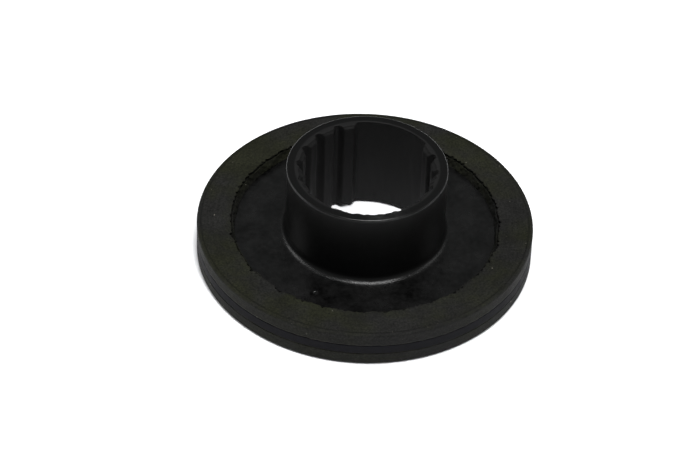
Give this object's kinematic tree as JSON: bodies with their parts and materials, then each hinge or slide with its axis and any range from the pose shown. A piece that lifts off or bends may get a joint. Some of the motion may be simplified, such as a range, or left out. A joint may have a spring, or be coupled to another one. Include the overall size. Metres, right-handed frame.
{
  "type": "splined-hub friction disc",
  "caption": "Flat friction disc on a tall tubular hub with an internally toothed bore, which turns with a shaft and is clamped between flat faces to brake it.",
  "frame": {"origin": "on the disc's axis, in the plane of the lower friction face", "axes": "+Z along the axis, from the friction disc towards the tall end of the hub; +Y through the left part of the bore's blank stretch"},
  "size_m": [0.09, 0.09, 0.0284],
  "materials": {
    "hub_body": "black coated casting, satin, fine grain",
    "core_plate": "blued steel, smooth, slightly shiny",
    "friction_ring": "ground resin-bound friction compound, matte, fine pale flecks",
    "bond_film": "cured adhesive"
  },
  "bodies": {
    "root": {"hub_body": "hub_body", "core_plate": "core_plate", "upper_friction_ring": "friction_ring", "lower_friction_ring": "friction_ring", "upper_bond_film": "bond_film", "lower_bond_film": "bond_film"}
  },
  "joints": []
}
